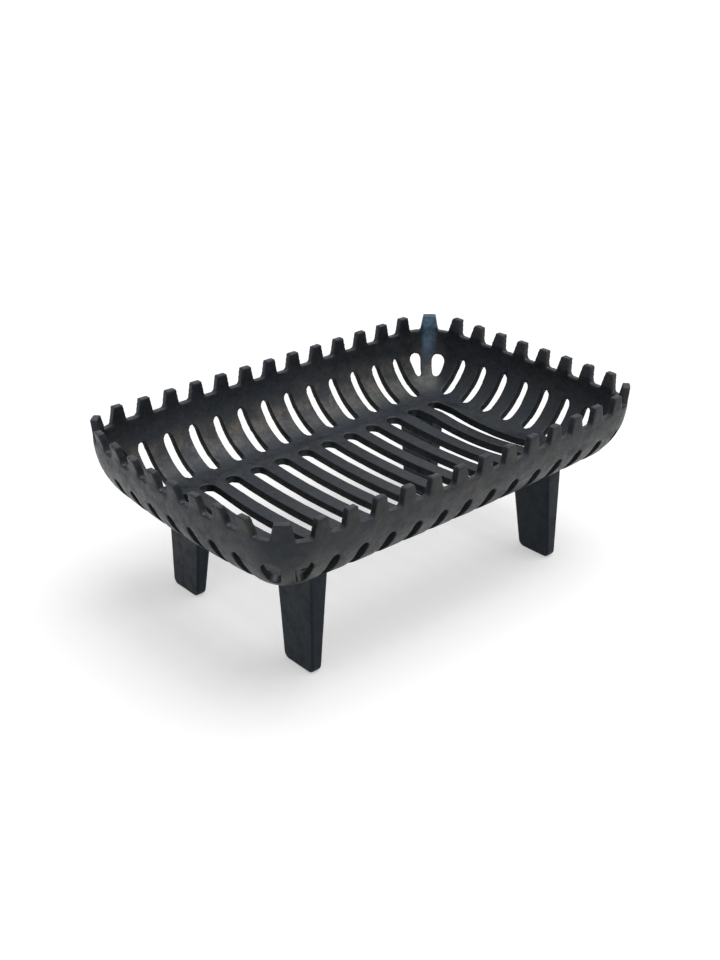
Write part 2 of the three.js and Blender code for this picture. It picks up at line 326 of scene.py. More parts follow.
@dataclass(frozen=True)
class Plan:
    """Plan of the basket's wall: four bowed sides and round corners, to the middle of the wall."""

    half_length: float = 0.2165
    half_width: float = 0.142
    long_bow: float = 0.0035
    short_bow: float = 0.005
    corner_radius: float = 0.040
    floor_corner_radius: float = 0.012
    corner_steps: int = 14
    long_steps: int = 14
    short_steps: int = 10

    @property
    def long_run(self) -> float:
        """Half the length of a long side, between its corner curves."""
        return self.half_length - self.corner_radius

    @property
    def short_run(self) -> float:
        """Half the length of a short side, between its corner curves."""
        return self.half_width - self.corner_radius

    @property
    def long_arc(self) -> tuple[Vector, float]:
        """Centre and radius of the back long side."""
        radius = (self.long_run**2 + self.long_bow**2) / (2 * self.long_bow)
        return Vector((0, self.half_width + self.long_bow - radius)), radius

    @property
    def short_arc(self) -> tuple[Vector, float]:
        """Centre and radius of the right short side."""
        radius = (self.short_run**2 + self.short_bow**2) / (2 * self.short_bow)
        return Vector((self.half_length + self.short_bow - radius, 0)), radius

    def corner_radius_at(self, inset: float) -> float:
        """Radius of a corner: even with the rim near the top, and tighter near the floor."""
        spare = self.corner_radius - self.floor_corner_radius
        return self.floor_corner_radius + spare * math.exp(-inset / spare)

    def corner(self, long_inset: float, short_inset: float) -> tuple[Vector, float]:
        """Finds the corner curve that runs smoothly into both sides.

        Args:
            long_inset: how far the long side stands in.
            short_inset: how far the short side stands in.

        Returns:
            Its centre and its radius.
        """
        long_centre, long_radius = self.long_arc
        short_centre, short_radius = self.short_arc
        radius = self.corner_radius_at((long_inset + short_inset) / 2)
        from_long = long_radius - long_inset - radius
        from_short = short_radius - short_inset - radius
        between = long_centre - short_centre
        gap = between.length
        along = (from_short**2 - from_long**2 + gap**2) / (2 * gap)
        across = math.sqrt(from_short**2 - along**2)
        unit = between.normalized()
        centre = short_centre + unit * along + Vector((-unit.y, unit.x)) * across
        return centre, radius

    def quarter(self, long_inset: float, short_inset: float) -> list[tuple[Vector, float]]:
        """Works out the first quadrant, from the middle of a short side to that of a long one.

        Args:
            long_inset: how far the long side stands in.
            short_inset: how far the short side stands in.

        Returns:
            Points, each with its share of the rim's dip.
        """
        long_centre, long_radius = self.long_arc
        short_centre, short_radius = self.short_arc
        centre, radius = self.corner(long_inset, short_inset)
        short_end = math.atan2(centre.y - short_centre.y, centre.x - short_centre.x)
        long_end = math.atan2(centre.y - long_centre.y, centre.x - long_centre.x)
        points = []
        for i in range(self.short_steps):
            share = i / self.short_steps
            side = short_radius - short_inset
            points.append((on_arc(short_centre, side, short_end * share), 1 - share**2))
        for i in range(self.corner_steps + 1):
            angle = short_end + (long_end - short_end) * i / self.corner_steps
            points.append((on_arc(centre, radius, angle), 0))
        for i in range(self.long_steps - 1, -1, -1):
            share = i / self.long_steps
            angle = QUARTER_TURN + (long_end - QUARTER_TURN) * share
            points.append((on_arc(long_centre, long_radius - long_inset, angle), 1 - share**2))
        return points

    def ring(self, long_inset: float, short_inset: float, height: float, dip: float) -> list[Vector]:
        """Works out the whole plan at one height.

        Args:
            long_inset: how far the long sides stand in.
            short_inset: how far the short sides stand in.
            height: height of the corners.
            dip: how much lower the middle of a side is.

        Returns:
            Points, counterclockwise from above.
        """
        there = self.quarter(long_inset, short_inset)
        back = there[:0:-1]
        there = there[:-1]
        points = []
        for run, sign_x, sign_y in ((there, 1, 1), (back, -1, 1), (there, -1, -1), (back, 1, -1)):
            for point, share in run:
                points.append(Vector((sign_x * point.x, sign_y * point.y, height - dip * share)))
        return points


def on_arc(centre: Vector, radius: float, angle: float) -> Vector:
    """Finds the point of a circle at one angle."""
    return centre + Vector((math.cos(angle), math.sin(angle))) * radius


def loft(rings: Sequence[Sequence[Vector]]) -> bmesh.types.BMesh:
    """Bridges rings of points into one closed body.

    Args:
        rings: the rings in order, all with as many points.

    Returns:
        The body, with a face across its first and its last ring.
    """
    bm = bmesh.new()
    loops = []
    for ring in rings:
        verts = [bm.verts.new(point) for point in ring]
        loops.append([bm.edges.new((verts[i - 1], verts[i])) for i in range(len(verts))])
    for below, above in zip(loops, loops[1:]):
        bmesh.ops.bridge_loops(bm, edges=below + above)
    bmesh.ops.edgeloop_fill(bm, edges=loops[0])
    bmesh.ops.edgeloop_fill(bm, edges=loops[-1])
    return bm


# ------------------------------------------------------------------ shader graph


@dataclass(frozen=True)
class Value:
    """A number in a shader, which takes part in ordinary arithmetic."""

    graph: "Graph"
    socket: bpy.types.NodeSocket

    def _maths(self, operation: str, left: object, right: object) -> "Value":
        """Adds a Math node.

        Args:
            operation: what it works out.
            left: its first number.
            right: its second number.

        Returns:
            Its result.
        """
        settings = {"operation": operation}
        node = self.graph.node("ShaderNodeMath", settings, {0: left, 1: right})
        return Value(self.graph, node.outputs[0])

    def __add__(self, other: object) -> "Value":
        """Adds."""
        return self._maths("ADD", self, other)

    def __radd__(self, other: object) -> "Value":
        """Adds, with the number first."""
        return self._maths("ADD", other, self)

    def __sub__(self, other: object) -> "Value":
        """Subtracts."""
        return self._maths("SUBTRACT", self, other)

    def __rsub__(self, other: object) -> "Value":
        """Subtracts from a number."""
        return self._maths("SUBTRACT", other, self)

    def __mul__(self, other: object) -> "Value":
        """Multiplies."""
        return self._maths("MULTIPLY", self, other)

    def __rmul__(self, other: object) -> "Value":
        """Multiplies, with the number first."""
        return self._maths("MULTIPLY", other, self)

    def __truediv__(self, other: object) -> "Value":
        """Divides."""
        return self._maths("DIVIDE", self, other)


class Graph:
    """The node tree of one material or of the world."""

    def __init__(self, owner: bpy.types.ID) -> None:
        """Starts an empty tree on a material or a world."""
        owner.use_nodes = True
        self.tree = owner.node_tree
        self.tree.nodes.clear()

    def node(
        self, kind: str, settings: dict[str, object] | None = None, inputs: dict | None = None
    ) -> bpy.types.Node:
        """Adds a node.

        Args:
            kind: the node's type.
            settings: its settings, which are set first.
            inputs: a value or a link for each of its sockets, by name or number.

        Returns:
            The node.
        """
        node = self.tree.nodes.new(kind)
        for name, setting in (settings or {}).items():
            setattr(node, name, setting)
        for name, value in (inputs or {}).items():
            self.feed(node.inputs[name], value)
        return node

    def feed(self, socket: bpy.types.NodeSocket, value: object) -> None:
        """Links a value to a socket, or sets it there.

        Args:
            socket: the socket that takes it.
            value: a shader value, another socket or a plain value.
        """
        source = value.socket if isinstance(value, Value) else value
        if isinstance(source, bpy.types.NodeSocket):
            self.tree.links.new(source, socket)
        else:
            socket.default_value = source

    def place(self) -> bpy.types.NodeSocket:
        """Gives the object's own coordinates."""
        return self.node("ShaderNodeTexCoord").outputs["Object"]

    def noise(self, scale: float, detail: float, roughness: float) -> Value:
        """Adds a noise pattern of one scale, per metre."""
        sockets = {"Vector": self.place(), "Scale": scale, "Detail": detail, "Roughness": roughness}
        return Value(self, self.node("ShaderNodeTexNoise", None, sockets).outputs["Fac"])

    def step(self, value: Value, low: float, high: float) -> Value:
        """Eases a value from 0 at one level to 1 at another.

        Args:
            value: the value.
            low: the level up to which it gives 0.
            high: the level from which it gives 1.

        Returns:
            The eased value.
        """
        settings = {"interpolation_type": "SMOOTHSTEP", "clamp": True}
        node = self.node("ShaderNodeMapRange", settings, {0: value, 1: low, 2: high})
        return Value(self, node.outputs[0])

    def beyond(self, place: Value, span: tuple[float, float]) -> Value:
        """Gives 0 nearer to the middle than a span, on either side, and 1 past it."""
        start, end = span
        return self.step(place * place, start**2, end**2)

    def clamp(self, value: Value) -> Value:
        """Holds a value between 0 and 1."""
        return Value(self, self.node("ShaderNodeClamp", None, {0: value}).outputs[0])

    def mix(self, factor: object, first: object, second: object) -> bpy.types.NodeSocket:
        """Mixes two colours.

        Args:
            factor: the second colour's share.
            first: the first colour.
            second: the second colour.

        Returns:
            The mixed colour.
        """
        node = self.node("ShaderNodeMix", {"data_type": "RGBA"})
        sockets = {"Factor_Float": factor, "A_Color": first, "B_Color": second}
        by_id = {socket.identifier: socket for socket in node.inputs}
        for name, value in sockets.items():
            self.feed(by_id[name], value)
        return next(out for out in node.outputs if out.identifier == "Result_Color")

    def split(self, vector: bpy.types.NodeSocket, axis: str) -> Value:
        """Gives one part of a vector."""
        return Value(self, self.node("ShaderNodeSeparateXYZ", None, {0: vector}).outputs[axis])

    def part(self, axis: str) -> Value:
        """Gives one of the object's own coordinates."""
        return self.split(self.place(), axis)

    def facing(self, axis: str) -> Value:
        """Gives one part of the surface's direction."""
        return self.split(self.node("ShaderNodeTexCoord").outputs["Normal"], axis)

    def edges(self) -> Value:
        """Gives how sharply the surface turns, about 0.5 where it is flat."""
        return Value(self, self.node("ShaderNodeNewGeometry").outputs["Pointiness"])


def colour(code: int) -> tuple[float, float, float, float]:
    """Turns a display colour such as 0x3F4143 into the linear values that a shader takes."""
    channels = ((code >> shift & 0xFF) / 255 for shift in (16, 8, 0))
    linear = (c / 12.92 if c <= 0.04045 else ((c + 0.055) / 1.055) ** 2.4 for c in channels)
    return (*linear, 1.0)


def at_least(floor: float, value: Value) -> Value:
    """Lifts a value of 0 to a floor, and leaves 1 as it is."""
    return floor + (1 - floor) * value


@dataclass(frozen=True)
class Cloud:
    """Patchiness of one scale: a noise, and the levels from which it shows and is full."""

    scale: float  # per metre
    detail: float
    roughness: float
    low: float
    high: float

    def on(self, graph: Graph) -> Value:
        """Gives 0 between the patches and 1 in them."""
        return graph.step(graph.noise(self.scale, self.detail, self.roughness), self.low, self.high)


BROAD = Cloud(14, 5, 0.6, 0.38, 0.66)
MOTTLE = Cloud(95, 6, 0.65, 0.42, 0.68)
BLOTCHES = Cloud(170, 5, 0.7, 0.36, 0.66)
FLECKS = Cloud(420, 3, 0.6, 0.58, 0.75)
# Patchiness of the front's painted light and of the stain with its painted sheen, and the mottle of that
# stain
PATCH_CLOUD = Cloud(62, 5, 0.6, 0.40, 0.62)
STAIN_AND_SHEEN_MOTTLE = Cloud(240, 8, 0.72, 0.36, 0.66)
BLUE_CLOUDS = Cloud(30, 4, 0.6, 0.46, 0.7)
TINT_STREAKS = Cloud(90, 5, 0.65, 0.3, 0.7)
# Plain noises: scale, detail and roughness, and for the grain each layer's share
TINT_EDGE = (110, 5, 0.65)
GRAIN_LAYERS = ((150, 4, 0.6, 1.0), (520, 5, 0.7, 0.6), (1500, 2, 0.5, 0.3))
SQUARE_ON = (0.35, 0.8)  # from where to where a face counts as looking one way


@dataclass(frozen=True)
class BlackedIron:
    """Cast iron under a thin black finish, with warmer stains that carry a painted sheen, blue patches,
    painted light on the front faces, worn edges that carry a painted highlight, and painted shade on the
    sides of the slots.
    """

    name: str
    black: int
    grey: int
    # Colour of the warmer patches inside, a stain with a painted sheen on it
    warm_stain_and_sheen: int
    # Greenish grey of the painted light on the outer faces that look to the front
    painted_front_light_colour: int
    blue: int
    # Colour of worn edges and flecks; on the edges it also stands for a painted highlight
    wear_and_highlight: int
    # Strengths of the stain with its painted sheen, and of the painted light on the front faces
    stain_and_sheen_strength: float
    painted_front_light_strength: float
    roughness: float
    grain: float
    gloss: float
    gloss_tint: tuple[float, float, float]
    # Painted shade on the sides of the slots: how dark it is, and its colour
    painted_shade_strength: float
    painted_shade_colour: int = 0x08090B
    # Each pair is where something sets in and where it is full
    slots_end: tuple[float, float] = (0.138, 0.146)
    corner_from: tuple[float, float] = (0.168, 0.176)  # where the long walls turn into corners
    end_wall_from: tuple[float, float] = (0.172, 0.180)  # where the short walls begin
    end_slots_to: tuple[float, float] = (0.092, 0.100)  # where their row of slots ends
    askew: tuple[float, float] = (0.002, 0.005)
    # Heights where the stain with its painted sheen rises and fades
    stain_and_sheen_rises: tuple[float, float] = (0.104, 0.114)
    stain_and_sheen_fades: tuple[float, float] = (0.122, 0.143)
    inner_faces: tuple[float, float] = (0.012, 0.045)
    # Where convex edges are lightened, partly by wear and partly as a painted highlight
    wear_and_highlight_edges: tuple[float, float] = (0.54, 0.64)
    wear_and_highlight_strength: float = 0.6
    fleck_strength: float = 0.12
    blue_strength: float = 0.6
    # How much each layer adds to the roughness
    mottle_roughness: float = 0.16
    blotch_roughness: float = 0.12
    wear_and_highlight_roughness: float = -0.1
    broad_roughness: float = 0.06
    # Extra roughness where shade is painted in the slots
    painted_shade_roughness: float = 0.35
    tint: int = 0x8CB2D2
    tint_radius: float = 0.0105
    tint_ragged: float = 0.007  # how far its edges wander
    tint_from: float = 0.124
    tint_full: float = 0.168
    tint_tip: float = 0.175
    tint_tip_loss: float = 0.4
    tint_inward: tuple[float, float] = (0.1, 0.7)
    bump_height: float = 0.0006

    def patches(self, graph: Graph, base: bpy.types.NodeSocket) -> bpy.types.NodeSocket:
        """Lays warmer stains with a painted sheen at mid height, painted light in a greenish grey on the
        front and blue clouds over a colour.

        Args:
            graph: the material's tree.
            base: the colour.

        Returns:
            The new colour.
        """
        patches = PATCH_CLOUD.on(graph)
        height = graph.part("Z")
        band = graph.step(height, *self.stain_and_sheen_rises) * (1 - graph.step(height, *self.stain_and_sheen_fades))
        inside = graph.step(0 - graph.facing("Y") * graph.part("Y"), *self.inner_faces)
        front = graph.step(0 - graph.facing("Y"), *SQUARE_ON) * (1 - inside)
        # Painted light: outer faces that look to the front are lightened to a greenish grey, in patches
        base = graph.mix(front * self.painted_front_light_strength * patches, base, colour(self.painted_front_light_colour))
        # Inside, the warmer patches at rib height are partly a stain and partly a painted sheen
        stain_and_sheen = inside * at_least(0.08, band) * self.stain_and_sheen_strength
        stain_and_sheen = stain_and_sheen * at_least(0.45, STAIN_AND_SHEEN_MOTTLE.on(graph)) * at_least(0.1, patches)
        base = graph.mix(stain_and_sheen, base, colour(self.warm_stain_and_sheen))
        clouds = BLUE_CLOUDS.on(graph) * (1 - stain_and_sheen) * self.blue_strength
        return graph.mix(clouds, base, colour(self.blue))

    def slot_side_shade_mask(self, graph: Graph) -> Value:
        """Finds the sides of the slots, below the rim, for the painted shade that darkens them.

        Args:
            graph: the material's tree.

        Returns:
            About 1 on them, and about 0 on the faces of the walls and the floor.
        """
        x, y, z = (graph.part(axis) for axis in "XYZ")
        to_x, to_y = graph.facing("X"), graph.facing("Y")
        in_end_wall = graph.beyond(x, self.end_wall_from) * (1 - graph.beyond(y, self.end_slots_to))
        along = graph.step(to_x * to_x, *SQUARE_ON) * (1 - graph.beyond(x, self.corner_from))
        across = graph.step(to_y * to_y, *SQUARE_ON) * in_end_wall
        # Round a corner, only the side of a slot faces out along one axis and in along the other
        askew = graph.step(0 - x * y * to_x * to_y, *self.askew)
        return graph.clamp((along + across + askew) * (1 - graph.step(z, *self.slots_end)))

    def heat_tint(self, graph: Graph, base: bpy.types.NodeSocket) -> bpy.types.NodeSocket:
        """Lays the blue streak down the inner face of one corner and its tooth over a colour.

        Args:
            graph: the material's tree.
            base: the colour.

        Returns:
            The new colour.
        """
        plan = Plan()
        centre, _ = plan.corner(0, 0)
        # Distance from the upright plane that halves the corner
        side = (graph.part("X") - centre.x - graph.part("Y") + centre.y) / math.sqrt(2)
        ragged = side + self.tint_ragged * (graph.noise(*TINT_EDGE) - 0.5)
        near = 1 - graph.step(ragged * ragged, 0.0, self.tint_radius**2)
        inner, outer = centre.x + centre.y, plan.half_length + plan.half_width
        beyond = graph.step(graph.part("X") + graph.part("Y"), inner, (inner + outer) / 2)
        height = graph.part("Z")
        fade = graph.step(height, self.tint_from, self.tint_full)
        fade = fade * (1 - self.tint_tip_loss * graph.step(height, self.tint_full, self.tint_tip))
        streaks = at_least(0.35, TINT_STREAKS.on(graph))
        inward = graph.step(0 - (graph.facing("X") + graph.facing("Y")), *self.tint_inward)
        return graph.mix(near * near * beyond * fade * streaks * inward, base, colour(self.tint))

    def make(self) -> bpy.types.Material:
        """Builds the material."""
        material = bpy.data.materials.new(self.name)
        graph = Graph(material)
        mottle, broad, blotch = (cloud.on(graph) for cloud in (MOTTLE, BROAD, BLOTCHES))
        base = graph.mix(0.45 * broad + 0.55 * blotch, colour(self.black), colour(self.grey))
        base = self.heat_tint(graph, self.patches(graph, base))
        # Convex edges: worn metal, and a painted highlight; the flecks share that colour
        wear_and_highlight = graph.step(graph.edges(), *self.wear_and_highlight_edges) * at_least(0.25, mottle)
        base = graph.mix(wear_and_highlight * self.wear_and_highlight_strength, base, colour(self.wear_and_highlight))
        base = graph.mix(FLECKS.on(graph) * self.fleck_strength, base, colour(self.wear_and_highlight))
        # Painted shade: the sides of the slots are darkened to near black, and made rougher
        painted_shade = self.slot_side_shade_mask(graph) * self.painted_shade_strength
        base = graph.mix(painted_shade, base, colour(self.painted_shade_colour))
        rough = self.roughness + self.mottle_roughness * (mottle - 0.5)
        rough = rough + self.blotch_roughness * (blotch - 0.5) + self.wear_and_highlight_roughness * wear_and_highlight
        rough = rough + self.broad_roughness * broad + self.painted_shade_roughness * painted_shade
        coarse, medium, fine = (graph.noise(*layer) * share for *layer, share in GRAIN_LAYERS)
        skin = coarse + medium + fine
        bump_sockets = {"Strength": self.grain, "Distance": self.bump_height, "Height": skin}
        bump = graph.node("ShaderNodeBump", None, bump_sockets)
        surface = {
            "Base Color": base,
            "Roughness": rough,
            "Specular IOR Level": self.gloss,
            "Specular Tint": (*self.gloss_tint, 1.0),
            "Normal": bump.outputs[0],
        }
        shader = graph.node("ShaderNodeBsdfPrincipled", None, surface)
        graph.node("ShaderNodeOutputMaterial", None, {"Surface": shader.outputs[0]})
        return material


# Besides its own colours, the basket's finish paints a sheen on the stains, light on the front faces,
# highlights on the edges and shade on the sides of the slots
BASKET_IRON = BlackedIron(
    name="basket_iron",
    black=0x16181C,
    grey=0x2C2F34,
    warm_stain_and_sheen=0x625B52,
    painted_front_light_colour=0x3A3831,
    blue=0x161E2A,
    wear_and_highlight=0x5C6268,
    stain_and_sheen_strength=0.85,
    painted_front_light_strength=0.8,
    roughness=0.45,
    grain=0.6,
    gloss=0.31,
    gloss_tint=(0.86, 0.94, 1.0),
    painted_shade_strength=1.0,
)
LEG_IRON = BlackedIron(
    name="leg_iron",
    black=0x12161C,
    grey=0x1B1F26,
    warm_stain_and_sheen=0x23211F,
    painted_front_light_colour=0x23211F,
    blue=0x121A24,
    wear_and_highlight=0x3E444A,
    stain_and_sheen_strength=0.0,
    painted_front_light_strength=0.0,
    roughness=0.5,
    grain=0.3,
    gloss=0.22,
    gloss_tint=(0.70, 0.86, 1.0),
    painted_shade_strength=0.0,
)


# ------------------------------------------------------------------ basket


@dataclass
class Basket:
    """The slotted bowl with its toothed rim and the four tongues under its floor."""

    plan: Plan = field(default_factory=Plan)
    node: str = "basket"
    wall: float = 0.0064
    upright_wall: float = 0.012
    rim_dip: float = 0.0025
    short_side_lean: float = 0.003
    floor_height: float = 0.103
    floor_thickness: float = 0.0076
    long_reach: float = 0.054
    short_reach: float = 0.044
    long_teeth: int = 13
    short_teeth: int = 8
    tooth_height: float = 0.016
    tooth_tip: float = 0.010
    tooth_base: float = 0.016
    corner_tooth_tip: float = 0.010
    corner_tooth_base: float = 0.019
    gap_fillet: float = 0.0026
    slot_width: float = 0.0126
    slot_taper: float = 0.24  # share of its width that a slot loses towards its top
    slot_top: float = 0.0325
    slot_margin: float = 0.0136
    corner_slot_width: float = 0.0108
    corner_slot_long_share: float = 0.82  # width kept by the corner slot next to the long side
    corner_slot_height: float = 0.0195
    corner_slot_drop: float = 0.0032  # how far their tops lie below the other slots' tops
    corner_slot_flare: float = 0.0012
    corner_slot_taper: float = 0.16
    corner_slot_lean: float = 0.0016
    corner_slot_inside: float = 0.014
    corner_slot_outside: float = 0.016
    corner_slot_angle: float = math.radians(23)
    corner_slot_turn: float = math.radians(8)
    corner_slot_offset: float = math.radians(7)
    floor_slot_width: float = 0.015
    floor_slot_margin: float = 0.0028
    floor_slot_end_margin: float = 0.00475
    floor_sag: float = 0.0042
    sag_fade: float = 0.035  # how far before the legs the sagging span begins to narrow
    sag_end_fade: float = 0.018  # how far past the last slot the sag dies out in the end wall
    tongue_thickness: float = 0.008
    tongue_width: float = 0.0334
    bowl_steps: int = 22
    wall_steps: int = 4
    gap_fillet_facets: int = 4
    low_end_facets: int = 10
    slot_facets: int = 8
    corner_slot_facets: int = 7
    cut_past: float = 0.005  # how far a cutter runs past what it cuts
    gap_cut_inside: float = 0.011
    gap_cut_outside: float = 0.014
    casting: SandCasting = SandCasting(grid=0.0009, softening=2, regain=0.0001, unevenness=0.0002)

    def __post_init__(self) -> None:
        """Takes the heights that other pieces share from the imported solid."""
        low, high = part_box(self.node)
        self.rim_height = high.z
        self.tongue_bottom = low.z
        self.curve_top = self.rim_height - self.upright_wall
        self.underside = self.floor_height - self.floor_thickness
        self.floor_half_length = self.plan.half_length - self.wall / 2 - self.short_reach
        self.floor_half_width = self.plan.half_width - self.wall / 2 - self.long_reach
        self.long_gaps = self.long_teeth - 1
        self.short_gaps = self.short_teeth - 1

    def face_rings(self, outset: float, drop: float) -> list[list[Vector]]:
        """Works out one face of the bowl, from the floor up to the upright wall.

        Args:
            outset: 0 for the inner face, the wall's thickness for the outer one.
            drop: how far the face lies below the floor's top.

        Returns:
            Its rings.
        """
        rings = []
        for i in range(self.bowl_steps, -1, -1):
            angle = QUARTER_TURN * i / self.bowl_steps
            long_inset = self.wall / 2 + self.long_reach - (self.long_reach + outset) * math.cos(angle)
            short_inset = self.wall / 2 + self.short_reach - (self.short_reach + outset) * math.cos(angle)
            height = self.curve_top - (self.curve_top - self.floor_height + drop) * math.sin(angle)
            rings.append(self.ring_at(long_inset, short_inset, height))
        return rings

    def ring_at(self, long_inset: float, short_inset: float, height: float) -> list[Vector]:
        """Works out one ring, with the part of the rim's dip that its height has."""
        share = (height - self.underside) / (self.rim_height - self.underside)
        return self.plan.ring(long_inset, short_inset, height, self.rim_dip * share)

    def upright_rings(self, inset: float) -> list[list[Vector]]:
        """Works out the upright wall above the bowl, where the short sides lean out."""
        rings = []
        for i in range(1, self.wall_steps + 1):
            share = i / self.wall_steps
            height = self.curve_top + (self.rim_height - self.curve_top) * share
            rings.append(self.ring_at(inset, inset - self.short_side_lean * share, height))
        return rings

    def shell(self) -> bpy.types.Mesh:
        """Makes the bowl before anything is cut out of it."""
        half = self.wall / 2
        outside = self.face_rings(self.wall, self.floor_thickness) + self.upright_rings(-half)
        inside = self.face_rings(0, 0) + self.upright_rings(half)
        return mesh_from(loft(outside + inside[::-1]), "shell")

    def outer_form(self, clearance: float) -> bpy.types.Mesh:
        """Makes everything inside the outer face, grown by a clearance."""
        rings = self.face_rings(self.wall + clearance, self.floor_thickness + clearance)
        return mesh_from(loft(rings), "outer_form")

    def inset_at(self, height: float, reach: float) -> float:
        """Finds how far the inner face stands in at one height of the curve."""
        drop = (self.curve_top - height) / (self.curve_top - self.floor_height)
        return self.wall / 2 + reach * (1 - math.sqrt(1 - drop * drop))

    def tooth_gap(
        self, floor_width: float, top_width: float, floor_at: float, fan: float = 0.0
    ) -> bpy.types.Mesh:
        """Makes the space between two teeth, through a wall that faces +X.

        Args:
            floor_width: its width at the bottom.
            top_width: its width at the tips of the teeth.
            floor_at: height of its bottom.
            fan: how much half its width grows for each metre outwards, round a corner.

        Returns:
            Its body.
        """
        half = floor_width / 2
        slope = (top_width - floor_width) / 2 / self.tooth_height
        top = self.rim_height + self.cut_past / 2
        half_way = (floor_at + top) / 2
        bm = block((-self.gap_cut_inside, -half, floor_at), (self.gap_cut_outside, half, top))
        spread = 1 + slope * (top - floor_at) / half
        for vert in bm.verts:
            if vert.co.z > half_way:
                vert.co.y *= spread
            vert.co.y += fan * vert.co.x * math.copysign(1, vert.co.y)
        low_edges = edges_along(bm, Axis.X, lambda middle: middle.z < half_way)
        round_edges(bm, low_edges, self.gap_fillet, self.gap_fillet_facets)
        return mesh_from(bm, "tooth_gap")

    def wall_slot(self, low_end: float, outer_end: float) -> bpy.types.Mesh:
        """Makes a slot in the curved wall of a side that faces +X.

        Args:
            low_end: where it begins, near the floor.
            outer_end: a place past the outer face.

        Returns:
            The slot's space: round at its low end from above, and at its top from the side.
        """
        radius = self.slot_width / 2
        top = self.floor_height + self.slot_top
        bottom = self.underside - self.cut_past
        bm = bmesh.new()
        start = bm.verts.new((low_end + radius, radius, bottom))
        centre, steps = (low_end + radius, 0, bottom), self.low_end_facets
        bmesh.ops.spin(bm, geom=[start], cent=centre, axis=Axis.Z.value, angle=math.pi, steps=steps)
        bm.verts.ensure_lookup_table()
        arc = sorted(bm.verts, key=lambda vert: -vert.co.y)
        far = [bm.verts.new((outer_end, radius, bottom)), bm.verts.new((outer_end, -radius, bottom))]
        bm.faces.new(arc)
        bm.faces.new([arc[0], arc[-1], far[1], far[0]])
        lid = raise_faces(bm, list(bm.faces), top - radius - bottom)
        straight = [face for face in lid if len(face.verts) == 4]
        raise_faces(bm, straight, radius)
        bmesh.ops.delete(bm, geom=straight, context="FACES_ONLY")
        crown = edges_along(bm, Axis.X, lambda middle: middle.z > top - radius / 2)
        round_edges(bm, crown, radius * ALMOST, self.slot_facets)
        for vert in bm.verts:
            vert.co.y *= 1 - self.slot_taper * (vert.co.z - bottom) / (top - bottom)
        return mesh_from(bm, "wall_slot")

    def corner_slot(self, side: int) -> bpy.types.Mesh:
        """Makes a slot through the corner of the wall, along +X, which grows on its way out.

        Args:
            side: 1 or -1, the side of the corner's middle on which it lies.

        Returns:
            Its body, narrower at its foot, which leans towards the middle.
        """
        share = self.corner_slot_long_share if side > 0 else 1
        radius = self.corner_slot_width * share / 2
        half = self.corner_slot_height / 2
        middle = self.corner_slot_middle
        bm = block(
            (-self.corner_slot_inside, -radius, -half), (self.corner_slot_outside, radius, half)
        )
        round_edges(bm, edges_along(bm, Axis.X), radius * ALMOST, self.corner_slot_facets)
        grow = self.corner_slot_flare / self.wall
        for vert in bm.verts:
            spread = 1 + grow * vert.co.x / radius
            rise = vert.co.z / half
            vert.co.y *= spread * (1 + self.corner_slot_taper * rise)
            vert.co.y += side * self.corner_slot_lean * rise
            vert.co.z = vert.co.z * spread + middle
        return mesh_from(bm, "corner_slot")

    def floor_slot(self) -> bpy.types.Mesh:
        """Makes one long slot across the floor."""
        radius = self.floor_slot_width / 2
        reach = self.floor_half_width - self.floor_slot_end_margin
        low = self.underside - self.cut_past
        bm = block((-radius, -reach, low), (radius, reach, self.floor_height + self.cut_past))
        round_edges(bm, edges_along(bm, Axis.Z), radius * ALMOST, self.slot_facets)
        return mesh_from(bm, "floor_slot")

    def dip_at(self, place: float, half_run: float) -> float:
        """Finds how much lower the rim is at one place on a side."""
        return self.rim_dip * (1 - (place / half_run) ** 2)

    def add_side_gaps(self, bm: bmesh.types.BMesh) -> None:
        """Adds the spaces between the teeth of all four sides."""
        plan = self.plan
        sides = (
            (self.long_gaps, plan.long_run, plan.half_width, Axis.X, QUARTER_TURN),
            (self.short_gaps, plan.short_run, plan.half_length, Axis.Y, 0),
        )
        for count, run, distance, along, turn in sides:
            pitch = 2 * run / count
            for place in columns(count, pitch):
                floor_at = self.rim_height - self.tooth_height - self.dip_at(place, run)
                gap = self.tooth_gap(pitch - self.tooth_base, pitch - self.tooth_tip, floor_at)
                spot = along.value * place
                for side in (turn, turn + 2 * QUARTER_TURN):
                    out = Matrix.Translation((distance, 0, 0))
                    add_copy(bm, gap, standing_at(side, spot.x, spot.y) @ out)

    def add_corner_gaps(self, bm: bmesh.types.BMesh) -> None:
        """Adds the two spaces beside each corner tooth."""
        radius = self.plan.corner_radius
        run = radius * QUARTER_TURN / 2
        floor_width = run - (self.corner_tooth_base + self.tooth_base) / 2
        top_width = run - (self.corner_tooth_tip + self.tooth_tip) / 2
        floor_at = self.rim_height - self.tooth_height
        gap = self.tooth_gap(floor_width, top_width, floor_at, run / radius / 2)
        offset = (self.corner_tooth_base + floor_width) / 2 / radius
        centre, _ = self.plan.corner(0, 0)
        for side in (-offset, offset):
            angle = QUARTER_TURN / 2 + side
            spot = on_arc(centre, radius, angle)
            for signs in QUADRANTS:
                add_copy(bm, gap, mirrored(*signs) @ standing_at(angle, spot.x, spot.y))

